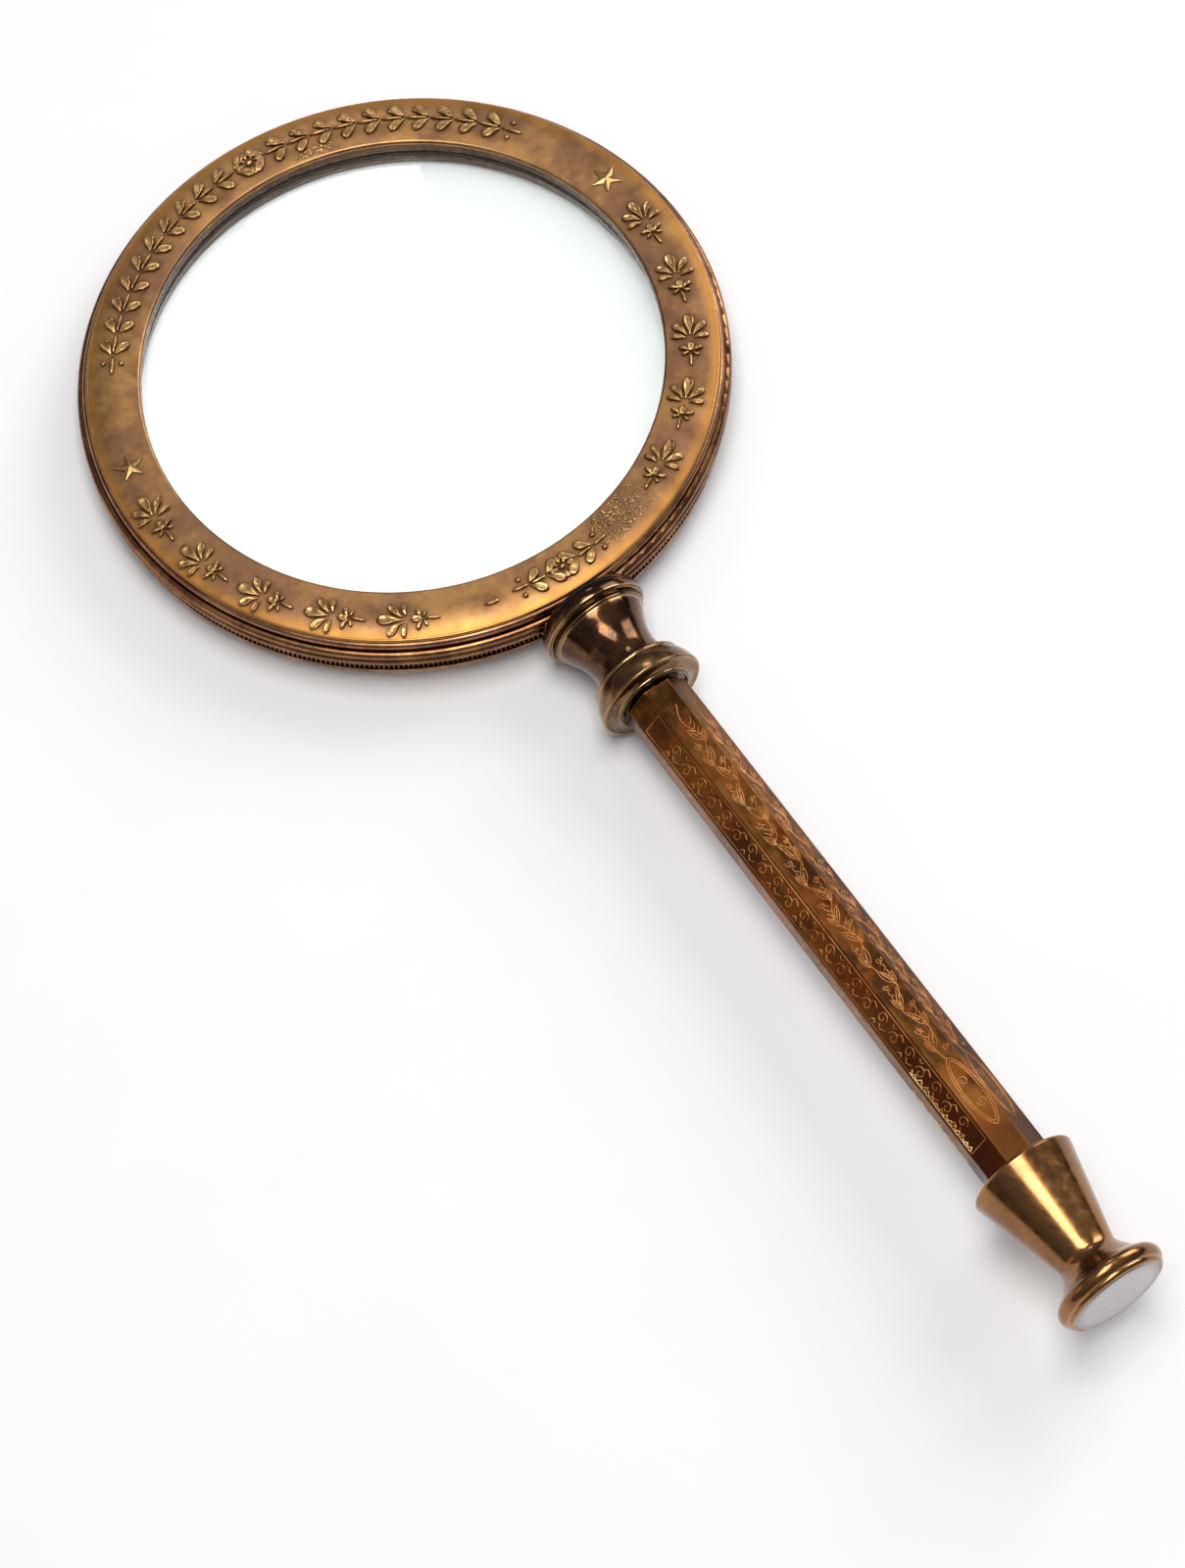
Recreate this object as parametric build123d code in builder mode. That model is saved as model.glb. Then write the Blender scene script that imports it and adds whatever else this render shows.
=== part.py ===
from build123d import *
import math
import os

# Hand lens: a 100 mm reading lens in a round brass rim, on an octagonal tube handle.
# Frame: the handle lies along Y with its axis on the Y axis, the butt end is at y = 0,
# the lens is at +Y and the decorated front face looks along +Z.  Millimetres.

os.makedirs("parts", exist_ok=True)

# ---- driving dimensions: the handle, measured along Y from the butt end ----
LENS_Y = 219.4              # lens axis
POMMEL_LIP_Y = 27.1         # open lip of the pommel
TUBE_FOOT_Y = 26.1          # the tube sits 1 mm inside the lip
TUBE_HEAD_Y = 136.4
FLANGE_HEAD_Y = 143.1
FERRULE_HEAD_Y = 158.9
TUBE_FLATS = 11.8           # across the flats of the octagon
TUBE_WALL = 1.2
TUBE_EDGE_FILLET = 0.4
POMMEL_RADIUS = 10.3
FLANGE_RADIUS = 10.15
FERRULE_RADIUS = 10.25

# ---- driving dimensions: the rim, heights measured from its back face ----
RIM_BACK_Z = -4.9           # back face of the rim, below the handle axis
LENS_RADIUS = 50.0
LENS_EDGE = (4.2, 6.2)      # heights of the two edges of the lens
LENS_VERTEX = (1.4, 9.0)    # heights of the back and front vertex
APERTURE_RADIUS = 48.0
FACE_RADIUS = 58.15
BEAD_RADIUS = 60.0
REEDING_ROOT = 58.8
REEDING_TIP = 59.25
BASE_RADIUS = 59.3          # smooth base under the reeding
REEDING_COUNT = 420
REEDING_SPAN = (1.5, 3.85)
SEAT_HEIGHT = 3.4           # step that the back packing ring lies on
FLANGE_TOP = 7.5            # top of the double bead
RIM_TOP = 8.6               # top of the screwed upstand
RIM_BORE = 50.5
RIM_THREAD_RADIUS = 56.0

# ---- fasteners and fits ----
RUNNING = 0.05              # radial clearance of the parts that turn on each other
STUD_RADIUS = 2.5           # M5
ROD_RADIUS = 2.0            # M4
PLUG_LENGTH = 7.5
PLUG_CLEARANCE = 0.05

RIM_PLANE = Plane(origin=(0, LENS_Y, RIM_BACK_Z), x_dir=(1, 0, 0), z_dir=(0, -1, 0))
LENS_AXIS = Axis((0, LENS_Y, 0), (0, 0, 1))


def from_lens(distance):
    """Y of a point on the handle side, at a distance from the lens axis."""
    return LENS_Y - distance


def across(y):
    """Plane square to the handle at a station, facing the lens."""
    return Plane(origin=(0, y, 0), x_dir=(1, 0, 0), z_dir=(0, 1, 0))


def ring_sketch(inner, outer, bottom, top):
    """Rectangle for a plain ring round the lens axis, made inside the open sketch."""
    centre = ((inner + outer) / 2, (bottom + top) / 2)
    with Locations(centre):
        Rectangle(outer - inner, top - bottom)


def handle_ring_sketch(inner, outer, low_y, high_y):
    """Rectangle for a plain ring round the handle axis, made inside the open sketch."""
    centre = ((inner + outer) / 2, (low_y + high_y) / 2)
    with Locations(centre):
        Rectangle(outer - inner, high_y - low_y)


# ======================= rim, lens and packing =======================

# Biconvex lens: two shallow spherical faces and a ground edge.
with BuildPart() as lens:
    with BuildSketch(RIM_PLANE):
        with BuildLine():
            sag = LENS_EDGE[0] - LENS_VERTEX[0]
            curvature = (LENS_RADIUS**2 + sag**2) / (2 * sag)
            half = LENS_RADIUS / 2
            half_sag = curvature - math.sqrt(curvature**2 - half**2)
            back_mid = (half, LENS_VERTEX[0] + half_sag)
            front_mid = (half, LENS_VERTEX[1] - half_sag)
            ThreePointArc((0, LENS_VERTEX[0]), back_mid, (LENS_RADIUS, LENS_EDGE[0]))
            Line((LENS_RADIUS, LENS_EDGE[0]), (LENS_RADIUS, LENS_EDGE[1]))
            ThreePointArc((LENS_RADIUS, LENS_EDGE[1]), front_mid, (0, LENS_VERTEX[1]))
            Line((0, LENS_VERTEX[1]), (0, LENS_VERTEX[0]))
        make_face()
    revolve(axis=LENS_AXIS)
lens.part.label = "lens"
export_step(lens.part, "parts/lens.step")

# Cell that holds the lens: back lip, screwed upstand, double bead, reeding and smooth base,
# with a drilled socket for the stud on the handle side.
with BuildPart() as rim_body:
    with BuildSketch(RIM_PLANE):
        with BuildLine():
            groove = REEDING_ROOT - 0.1
            Polyline(
                (groove, 3.95),
                (groove, REEDING_SPAN[0]),
                (BASE_RADIUS, REEDING_SPAN[0]),
                (BASE_RADIUS, 0.6),
            )
            ThreePointArc((BASE_RADIUS, 0.6), (BASE_RADIUS - 0.2, 0.2), (BASE_RADIUS - 0.6, 0))
            Polyline(
                (BASE_RADIUS - 0.6, 0),
                (49.2, 0),
                (48.6, 0.6),
                (48.6, SEAT_HEIGHT),
                (RIM_BORE, SEAT_HEIGHT),
                (RIM_BORE, RIM_TOP),
                (RIM_THREAD_RADIUS, RIM_TOP),
                (RIM_THREAD_RADIUS, FLANGE_TOP),
                (58.9, FLANGE_TOP),
            )
            ThreePointArc((58.9, FLANGE_TOP), (BEAD_RADIUS, 6.65), (59.1, 5.8))
            Line((59.1, 5.8), (59.1, 5.65))
            ThreePointArc((59.1, 5.65), (BEAD_RADIUS, 4.85), (58.9, 3.95))
            Line((58.9, 3.95), (groove, 3.95))
        make_face()
    revolve(axis=LENS_AXIS)
    reeding_foot = RIM_BACK_Z + REEDING_SPAN[0] - 0.2
    with BuildSketch(Plane.XY.offset(reeding_foot)):
        with Locations((0, LENS_Y)):
            with BuildLine():
                step = math.pi / REEDING_COUNT
                radii = (REEDING_ROOT, REEDING_TIP)
                tooth_points = []
                for corner in range(2 * REEDING_COUNT):
                    radius = radii[corner % 2]
                    turn = corner * step
                    tooth_points.append((radius * math.cos(turn), LENS_Y + radius * math.sin(turn)))
                Polyline(*tooth_points, close=True)
            make_face()
            Circle(REEDING_ROOT - 1, mode=Mode.SUBTRACT)
    extrude(amount=REEDING_SPAN[1] - REEDING_SPAN[0] + 0.2)
    with BuildSketch(across(from_lens(BEAD_RADIUS + 1))):
        Circle(STUD_RADIUS + 0.02)
    extrude(amount=BEAD_RADIUS + 1 - 54, mode=Mode.SUBTRACT)
rim_body.part.label = "rim_body"
export_step(rim_body.part, "parts/rim_body.step")

# Thin packing under the lens.
with BuildPart() as rear_packing_ring:
    with BuildSketch(RIM_PLANE):
        ring_sketch(48.8, 50.3, SEAT_HEIGHT, 4.0)
    revolve(axis=LENS_AXIS)
rear_packing_ring.part.label = "rear_packing_ring"
export_step(rear_packing_ring.part, "parts/rear_packing_ring.step")

# Thin packing over the lens.
with BuildPart() as front_packing_ring:
    with BuildSketch(RIM_PLANE):
        ring_sketch(48.8, 50.3, 6.4, 6.9)
    revolve(axis=LENS_AXIS)
front_packing_ring.part.label = "front_packing_ring"
export_step(front_packing_ring.part, "parts/front_packing_ring.step")

# Brass slip ring: it rises with the bezel but does not turn, so the packing isn't twisted.
with BuildPart() as slip_ring:
    with BuildSketch(RIM_PLANE):
        ring_sketch(48.3, 50.2, 6.93, 7.35)
    revolve(axis=LENS_AXIS)
slip_ring.part.label = "slip_ring"
export_step(slip_ring.part, "parts/slip_ring.step")

# ======================= bezel: screwed ring and decorated plate =======================

# Screwed ring with the smooth side band; its inner skirt presses on the slip ring.
with BuildPart() as bezel_ring:
    with BuildSketch(RIM_PLANE):
        with BuildLine():
            thread = RIM_THREAD_RADIUS + RUNNING
            Polyline(
                (57.5, 8.9),
                (57.5, 9.3),
                (APERTURE_RADIUS, 9.3),
                (APERTURE_RADIUS, 7.4),
                (50.1, 7.4),
                (50.1, 8.7),
                (thread, 8.7),
                (thread, 7.6),
                (58.5, 7.6),
            )
            ThreePointArc((58.5, 7.6), (58.85, 8.25), (57.5, 8.9))
        make_face()
    revolve(axis=LENS_AXIS)
bezel_ring.part.label = "bezel_ring"
export_step(bezel_ring.part, "parts/bezel_ring.step")

# Domed annular plate with a rolled outer edge, swaged over the screwed ring.
with BuildPart() as face_plate:
    with BuildSketch(RIM_PLANE):
        with BuildLine():
            ThreePointArc((57.8, 8.95), (FACE_RADIUS, 9.4), (57.6, 9.85))
            ThreePointArc((57.6, 9.85), (53.0, 10.4), (48.6, 10.05))
            ThreePointArc((48.6, 10.05), (48.15, 9.85), (APERTURE_RADIUS, 9.5))
            Polyline(
                (APERTURE_RADIUS, 9.5),
                (APERTURE_RADIUS, 9.3),
                (57.55, 9.3),
                (57.55, 8.95),
                (57.8, 8.95),
            )
        make_face()
    revolve(axis=LENS_AXIS)
face_plate.part.label = "face_plate"
export_step(face_plate.part, "parts/face_plate.step")

# ======================= neck =======================

# Stud brazed into the rim: spigot, round collar and M5 shank.
with BuildPart() as rim_stud:
    with BuildSketch():
        with BuildLine():
            Polyline(
                (0, from_lens(54.2)),
                (STUD_RADIUS, from_lens(54.2)),
                (STUD_RADIUS, from_lens(60.1)),
                (4.4, from_lens(60.1)),
                (4.4, from_lens(62.0)),
                (STUD_RADIUS, from_lens(62.0)),
                (STUD_RADIUS, from_lens(69.9)),
                (STUD_RADIUS - 0.5, from_lens(70.4)),
                (0, from_lens(70.4)),
                close=True,
            )
        make_face()
    revolve(axis=Axis.Y)
rim_stud.part.label = "rim_stud"
export_step(rim_stud.part, "parts/rim_stud.step")

# Fibre washer that keeps the handle from working loose.
with BuildPart() as neck_washer:
    with BuildSketch():
        handle_ring_sketch(STUD_RADIUS + 0.1, 4.4, from_lens(62.75), from_lens(62.05))
    revolve(axis=Axis.Y)
neck_washer.part.label = "neck_washer"
export_step(neck_washer.part, "parts/neck_washer.step")

# Turned ferrule: bead, fine groove, second band and a waisted cup.
# Its head is counterbored for the stud's collar; its foot is tapped for the tie rod.
with BuildPart() as neck_ferrule:
    with BuildSketch():
        with BuildLine():
            bead_top = (9.4, FERRULE_HEAD_Y)
            bead_edge = (FERRULE_RADIUS - 0.1, FERRULE_HEAD_Y - 3.1)
            bead_foot = (9.7, FERRULE_HEAD_Y - 3.45)
            band_top = (9.0, FERRULE_HEAD_Y - 3.9)
            band_foot = (9.05, FERRULE_HEAD_Y - 4.55)
            cup_top = (8.75, FERRULE_HEAD_Y - 4.7)
            cup_shoulder = (7.8, FERRULE_HEAD_Y - 6.9)
            waist = (6.5, FERRULE_HEAD_Y - 11.9)
            cup_foot = (7.2, FLANGE_HEAD_Y)
            ThreePointArc(bead_top, (FERRULE_RADIUS, FERRULE_HEAD_Y - 2.0), bead_edge)
            Polyline(bead_edge, bead_foot, (8.85, FERRULE_HEAD_Y - 3.5), band_top)
            ThreePointArc(band_top, (9.2, FERRULE_HEAD_Y - 4.3), band_foot)
            Line(band_foot, cup_top)
            Spline(cup_top, cup_shoulder, waist, cup_foot, tangents=[(-0.25, -1), (0.45, -1)])
            Polyline(
                cup_foot,
                (ROD_RADIUS + 0.02, FLANGE_HEAD_Y),
                (ROD_RADIUS + 0.02, from_lens(71.9)),
                (0, from_lens(71.9)),
                (0, from_lens(70.9)),
                (STUD_RADIUS + RUNNING, from_lens(70.9)),
                (STUD_RADIUS + RUNNING, from_lens(62.8)),
                (4.6, from_lens(62.8)),
                (4.6, FERRULE_HEAD_Y),
                bead_top,
            )
        make_face()
    revolve(axis=Axis.Y)
neck_ferrule.part.label = "neck_ferrule"
export_step(neck_ferrule.part, "parts/neck_ferrule.step")

# Disc flange between ferrule and tube: front lip, broad band that widens to a sharp edge,
# coved underside and a collar round the tube.
with BuildPart() as neck_flange:
    with BuildSketch():
        with BuildLine():
            bore = ROD_RADIUS + 0.05
            lip_inner = (8.2, FLANGE_HEAD_Y)
            lip_outer = (8.65, FLANGE_HEAD_Y - 0.75)
            edge_front = (FLANGE_RADIUS, FLANGE_HEAD_Y - 4.7)
            edge_back = (FLANGE_RADIUS - 0.3, FLANGE_HEAD_Y - 5.2)
            collar_top = (7.5, FLANGE_HEAD_Y - 5.7)
            Line((bore, FLANGE_HEAD_Y), lip_inner)
            ThreePointArc(lip_inner, (8.75, FLANGE_HEAD_Y - 0.35), lip_outer)
            ThreePointArc(lip_outer, (9.65, FLANGE_HEAD_Y - 2.6), edge_front)
            ThreePointArc(
                edge_front, (FLANGE_RADIUS - 0.05, FLANGE_HEAD_Y - 5.05), edge_back
            )
            ThreePointArc(edge_back, (8.4, FLANGE_HEAD_Y - 5.2), collar_top)
            ThreePointArc(
                collar_top, (7.25, FLANGE_HEAD_Y - 6.05), (6.9, FLANGE_HEAD_Y - 6.1)
            )
            Polyline(
                (6.9, FLANGE_HEAD_Y - 6.1),
                (6.6, FLANGE_HEAD_Y - 5.6),
                (5.6, FLANGE_HEAD_Y - 5.6),
                (5.6, TUBE_HEAD_Y),
                (bore, TUBE_HEAD_Y),
                (bore, FLANGE_HEAD_Y),
            )
        make_face()
    revolve(axis=Axis.Y)
neck_flange.part.label = "neck_flange"
export_step(neck_flange.part, "parts/neck_flange.step")

# ======================= handle =======================

# Octagonal tube with one flat facing up and softened edges.
with BuildPart() as handle_tube:
    with BuildSketch(across(TUBE_FOOT_Y)):
        RegularPolygon(TUBE_FLATS / 2, 8, major_radius=False, rotation=22.5)
    extrude(amount=TUBE_HEAD_Y - TUBE_FOOT_Y)
    long_edges = handle_tube.edges().filter_by(Axis.Y)
    fillet(long_edges, TUBE_EDGE_FILLET)
    with BuildSketch(across(TUBE_FOOT_Y)):
        RegularPolygon(TUBE_FLATS / 2 - TUBE_WALL, 8, major_radius=False, rotation=22.5)
    extrude(amount=TUBE_HEAD_Y - TUBE_FOOT_Y, mode=Mode.SUBTRACT)
handle_tube.part.label = "handle_tube"
export_step(handle_tube.part, "parts/handle_tube.step")

# Two octagonal plugs centre the rod in the ends of the tube.
for plug_name, plug_foot in (
    ("lower_plug", TUBE_FOOT_Y),
    ("upper_plug", TUBE_HEAD_Y - PLUG_LENGTH),
):
    with BuildPart() as plug:
        with BuildSketch(across(plug_foot)):
            plug_apothem = TUBE_FLATS / 2 - TUBE_WALL - PLUG_CLEARANCE
            RegularPolygon(plug_apothem, 8, major_radius=False, rotation=22.5)
            Circle(ROD_RADIUS + 0.05, mode=Mode.SUBTRACT)
        extrude(amount=PLUG_LENGTH)
    plug.part.label = plug_name
    export_step(plug.part, f"parts/{plug_name}.step")

# Tie rod: from the ferrule, through the flange and the tube, into the pommel.
with BuildPart() as tie_rod:
    with BuildSketch(across(from_lens(206.5))):
        Circle(ROD_RADIUS)
    extrude(amount=206.5 - 72.1)
    chamfer(tie_rod.edges().filter_by(GeomType.CIRCLE), 0.4)
tie_rod.part.label = "tie_rod"
export_step(tie_rod.part, "parts/tie_rod.step")

# Washer and nut that close the handle, hidden inside the pommel's socket.
with BuildPart() as plug_washer:
    with BuildSketch():
        handle_ring_sketch(ROD_RADIUS + 0.1, 4.5, TUBE_FOOT_Y - 0.8, TUBE_FOOT_Y)
    revolve(axis=Axis.Y)
plug_washer.part.label = "plug_washer"
export_step(plug_washer.part, "parts/plug_washer.step")

with BuildPart() as rod_nut:
    with BuildSketch(across(TUBE_FOOT_Y - 4.0)):
        RegularPolygon(3.5, 6, major_radius=False)
        Circle(ROD_RADIUS + 0.02, mode=Mode.SUBTRACT)
    extrude(amount=3.2)
rod_nut.part.label = "rod_nut"
export_step(rod_nut.part, "parts/rod_nut.step")

# ======================= pommel =======================

# Fibre ring between the tube's foot and the shoulder in the pommel.
with BuildPart() as pommel_washer:
    with BuildSketch():
        handle_ring_sketch(4.85, 6.25, TUBE_FOOT_Y - 1.5, TUBE_FOOT_Y - 0.05)
    revolve(axis=Axis.Y)
pommel_washer.part.label = "pommel_washer"
export_step(pommel_washer.part, "parts/pommel_washer.step")

# Turned pommel: open lip, straight cone, waist, flare, rounded rim and a narrow second ring.
with BuildPart() as pommel:
    with BuildSketch():
        with BuildLine():
            lip_round = (9.8, POMMEL_LIP_Y - 0.6)
            cone_foot = (5.75, 10.0)
            waist = (5.5, 8.4)
            flare = (7.2, 5.5)
            rim_top = (9.7, 3.6)
            rim_foot = (9.75, 1.1)
            ring_top = (9.5, 0.95)
            face_edge = (8.85, 0.12)
            ThreePointArc((9.2, POMMEL_LIP_Y), (9.63, POMMEL_LIP_Y - 0.17), lip_round)
            Line(lip_round, cone_foot)
            Spline(cone_foot, waist, flare, rim_top, tangents=[(-0.24, -1), (1.15, -0.6)])
            ThreePointArc(rim_top, (POMMEL_RADIUS, 2.3), rim_foot)
            Line(rim_foot, ring_top)
            ThreePointArc(ring_top, (9.4, 0.4), face_edge)
            Polyline(
                face_edge,
                (8.72, 0.12),
                (8.72, 1.2),
                (0, 1.2),
                (0, 10.9),
                (ROD_RADIUS + RUNNING, 10.9),
                (ROD_RADIUS + RUNNING, 21.2),
                (5.0, 21.2),
                (5.0, TUBE_FOOT_Y - 1.55),
                (6.6, TUBE_FOOT_Y - 1.55),
                (6.6, POMMEL_LIP_Y),
                (9.2, POMMEL_LIP_Y),
            )
        make_face()
    revolve(axis=Axis.Y)
pommel.part.label = "pommel"
export_step(pommel.part, "parts/pommel.step")

# Flat polished disc let into the butt end.
with BuildPart() as end_cap:
    with BuildSketch():
        with BuildLine():
            Polyline((0, 0), (8.5, 0), (8.7, 0.2), (8.7, 1.2), (0, 1.2), close=True)
        make_face()
    revolve(axis=Axis.Y)
end_cap.part.label = "end_cap"
export_step(end_cap.part, "parts/end_cap.step")
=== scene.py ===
import math
import random

import bpy
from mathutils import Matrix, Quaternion, Vector
from mathutils.bvhtree import BVHTree


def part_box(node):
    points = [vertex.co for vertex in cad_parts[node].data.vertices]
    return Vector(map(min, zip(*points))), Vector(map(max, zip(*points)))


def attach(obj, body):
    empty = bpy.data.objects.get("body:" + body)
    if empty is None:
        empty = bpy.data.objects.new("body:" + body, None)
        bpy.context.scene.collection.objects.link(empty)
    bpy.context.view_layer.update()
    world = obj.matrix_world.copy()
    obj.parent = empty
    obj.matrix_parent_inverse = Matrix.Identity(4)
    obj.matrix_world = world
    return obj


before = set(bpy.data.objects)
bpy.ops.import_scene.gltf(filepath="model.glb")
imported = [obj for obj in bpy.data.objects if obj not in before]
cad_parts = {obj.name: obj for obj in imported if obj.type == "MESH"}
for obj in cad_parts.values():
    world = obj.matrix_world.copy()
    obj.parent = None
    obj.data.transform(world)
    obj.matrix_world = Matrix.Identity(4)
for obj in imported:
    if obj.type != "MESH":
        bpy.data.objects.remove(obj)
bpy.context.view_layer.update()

# Looks of the hand lens.  Metres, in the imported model's frame: the handle lies along Y
# with its butt end at y = 0, and the decorated front of the rim looks along +Z.

MM = 0.001
HOLLOW_SHADE = (0.07, 0.032, 0.012)       # painted shade, a dark brass tone, in the hollows of the embossed plate beside the relief
INNER_WALL_SHADE_RADII = (51.5 * MM, 50.8 * MM)      # radii between which painted shade darkens the rim's inner wall
CAP_FADE = (6.5 * MM, 8.6 * MM)         # radii between which the end disc darkens

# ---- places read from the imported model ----
LENS_LOW, LENS_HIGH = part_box("lens")
FACE_LOW, FACE_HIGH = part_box("face_plate")
RIM_LOW, RIM_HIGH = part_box("rim_body")
TUBE_LOW, TUBE_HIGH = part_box("handle_tube")
FERRULE_LOW, FERRULE_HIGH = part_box("neck_ferrule")
FLANGE_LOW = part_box("neck_flange")[0]
LENS_CENTRE = (LENS_LOW + LENS_HIGH) / 2
FACE_RADIUS = (FACE_HIGH.x - FACE_LOW.x) / 2
TUBE_APOTHEM = (TUBE_HIGH.z - TUBE_LOW.z) / 2


# =====================================================================
# Materials
# =====================================================================


class Shader:
    """A principled material being built; each call adds one node and returns its output."""

    def __init__(self, name, **sockets):
        self.material = bpy.data.materials.new(name)
        self.material.use_nodes = True
        self.tree = self.material.node_tree
        self.bsdf = self.tree.nodes["Principled BSDF"]
        for socket, value in sockets.items():
            self.bsdf.inputs[socket.replace("_", " ").title()].default_value = value
        self.place = self.add("ShaderNodeTexCoord").outputs["Object"]

    def add(self, kind, **settings):
        node = self.tree.nodes.new(kind)
        for setting, value in settings.items():
            setattr(node, setting, value)
        return node

    def feed(self, socket, value):
        """Links an output to a socket, or sets the socket to a plain value."""
        if isinstance(value, bpy.types.NodeSocket):
            self.tree.links.new(value, socket)
        else:
            socket.default_value = value

    def shift(self, location=(0, 0, 0), scale=(1, 1, 1)):
        node = self.add("ShaderNodeMapping")
        node.inputs["Location"].default_value = location
        node.inputs["Scale"].default_value = scale
        self.tree.links.new(self.place, node.inputs["Vector"])
        return node.outputs["Vector"]

    def noise(self, size, detail=4.0, roughness=0.55, distortion=0.0, vector=None):
        """Noise whose features are about as large as size, in metres."""
        node = self.add("ShaderNodeTexNoise")
        self.feed(node.inputs["Vector"], vector or self.place)
        node.inputs["Scale"].default_value = 1.0 / size
        node.inputs["Detail"].default_value = detail
        node.inputs["Roughness"].default_value = roughness
        node.inputs["Distortion"].default_value = distortion
        return node.outputs["Fac"]

    def math(self, operation, first, second=0.0, clamp=False):
        node = self.add("ShaderNodeMath", operation=operation, use_clamp=clamp)
        self.feed(node.inputs[0], first)
        self.feed(node.inputs[1], second)
        return node.outputs[0]

    def remap(self, value, low, high, out_low=0.0, out_high=1.0, smooth=False):
        kind = "SMOOTHSTEP" if smooth else "LINEAR"
        node = self.add("ShaderNodeMapRange", interpolation_type=kind)
        self.feed(node.inputs["Value"], value)
        node.inputs["From Min"].default_value = low
        node.inputs["From Max"].default_value = high
        node.inputs["To Min"].default_value = out_low
        node.inputs["To Max"].default_value = out_high
        return node.outputs["Result"]

    def mix(self, factor, first, second):
        node = self.add("ShaderNodeMix", data_type="RGBA")
        self.feed(node.inputs[0], factor)
        for socket, colour in ((node.inputs[6], first), (node.inputs[7], second)):
            if isinstance(colour, tuple):
                colour = (*colour, 1.0)
            self.feed(socket, colour)
        return node.outputs[2]

    def radius_from(self, centre, plane):
        """Distance from an axis through centre, square to the two named directions."""
        offset = tuple(-c for c in centre)
        split = self.add("ShaderNodeSeparateXYZ")
        self.tree.links.new(self.shift(location=offset), split.inputs[0])
        squares = [self.math("MULTIPLY", split.outputs[a], split.outputs[a]) for a in plane]
        return self.math("SQRT", self.math("ADD", squares[0], squares[1]))

    def coordinate(self, letter):
        """One coordinate of the point in the model's frame; Y runs along the handle."""
        split = self.add("ShaderNodeSeparateXYZ")
        self.tree.links.new(self.place, split.inputs[0])
        return split.outputs[letter]

    def occlusion_shade(self, reach):
        """Painted shade mask from ambient occlusion: 1 in hollows and corners, 0 on open surface."""
        node = self.add("ShaderNodeAmbientOcclusion", samples=8)
        node.inputs["Distance"].default_value = reach
        return self.math("SUBTRACT", 1.0, node.outputs["AO"], clamp=True)

    def edge(self, radius, low=0.02, high=0.12):
        """1 along sharp edges, where handling rubs the patina off."""
        bevel = self.add("ShaderNodeBevel", samples=6)
        bevel.inputs["Radius"].default_value = radius
        surface = self.add("ShaderNodeNewGeometry").outputs["Normal"]
        node = self.add("ShaderNodeVectorMath", operation="DOT_PRODUCT")
        self.tree.links.new(bevel.outputs["Normal"], node.inputs[0])
        self.tree.links.new(surface, node.inputs[1])
        turned = self.math("SUBTRACT", 1.0, node.outputs["Value"], clamp=True)
        return self.remap(turned, low, high)

    def bump(self, height, distance, strength=1.0, normal=None):
        node = self.add("ShaderNodeBump")
        node.inputs["Strength"].default_value = strength
        node.inputs["Distance"].default_value = distance
        self.feed(node.inputs["Height"], height)
        if normal is not None:
            self.tree.links.new(normal, node.inputs["Normal"])
        return node.outputs["Normal"]

    def finish(self, colour=None, roughness=None, normal=None):
        for socket, value in (("Base Color", colour), ("Roughness", roughness), ("Normal", normal)):
            if value is not None:
                self.tree.links.new(value, self.bsdf.inputs[socket])
        return self.material


def patina(shader, light, dark, cloud, streak=(1, 1, 1)):
    """Two tones of tarnish in soft clouds with finer mottling."""
    place = shader.shift(scale=streak)
    clouds = shader.noise(cloud, detail=5.0, distortion=0.6, vector=place)
    mottle = shader.noise(cloud / 9, detail=3.0, vector=place)
    coarse = shader.math("MULTIPLY", clouds, 0.75)
    fine = shader.math("MULTIPLY", mottle, 0.25)
    blend = shader.math("ADD", coarse, fine)
    return shader.mix(shader.remap(blend, 0.40, 0.62, smooth=True), dark, light)


def embossed_face_material():
    """Tan brass plate: pinkish clouds, painted shade in the hollows beside the relief, bright rolled
    edge.
    """
    s = Shader("embossed_face", metallic=1.0)
    radius = s.radius_from(LENS_CENTRE, (0, 1))
    colour = patina(s, (0.46, 0.240, 0.088), (0.29, 0.145, 0.075), 13 * MM)
    rolled = s.remap(radius, FACE_RADIUS - 2.6 * MM, FACE_RADIUS - 0.9 * MM, smooth=True)
    colour = s.mix(s.math("MULTIPLY", rolled, 0.65), colour, (0.50, 0.225, 0.045))
    # painted shade beside the relief, from ambient occlusion
    hollow = s.math("MULTIPLY", s.occlusion_shade(1.3 * MM), 1.9, clamp=True)
    colour = s.mix(hollow, colour, HOLLOW_SHADE)
    worn = s.edge(0.25 * MM)
    colour = s.mix(s.math("MULTIPLY", worn, 0.8), colour, (0.90, 0.62, 0.30))
    grain = s.noise(0.5 * MM, detail=3.0)
    dents = s.noise(4 * MM, detail=2.0)
    normal = s.bump(dents, 0.10 * MM, 0.5, s.bump(grain, 0.012 * MM, 0.5))
    return s.finish(colour, s.remap(dents, 0.3, 0.7, 0.30, 0.46), normal)


def relief_material():
    """Raised ornament: rubbed bright, edges lit up partly by wear and partly as painted highlight,
    painted shade in the hollows.
    """
    s = Shader("relief_brass", metallic=1.0)
    colour = patina(s, (0.60, 0.36, 0.14), (0.36, 0.195, 0.08), 3 * MM)
    # bright edges: partly rubbed wear, partly painted highlight
    worn = s.edge(0.15 * MM)
    colour = s.mix(s.math("MULTIPLY", worn, 0.6), colour, (0.95, 0.74, 0.42))
    # painted shade in the hollows, from ambient occlusion
    colour = s.mix(s.math("MULTIPLY", s.occlusion_shade(0.7 * MM), 1.7, clamp=True), colour, (0.07, 0.03, 0.012))
    rub = s.noise(0.8 * MM, detail=3.0)
    return s.finish(colour, s.remap(rub, 0.3, 0.7, 0.24, 0.38), s.bump(rub, 0.03 * MM, 0.5))


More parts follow.
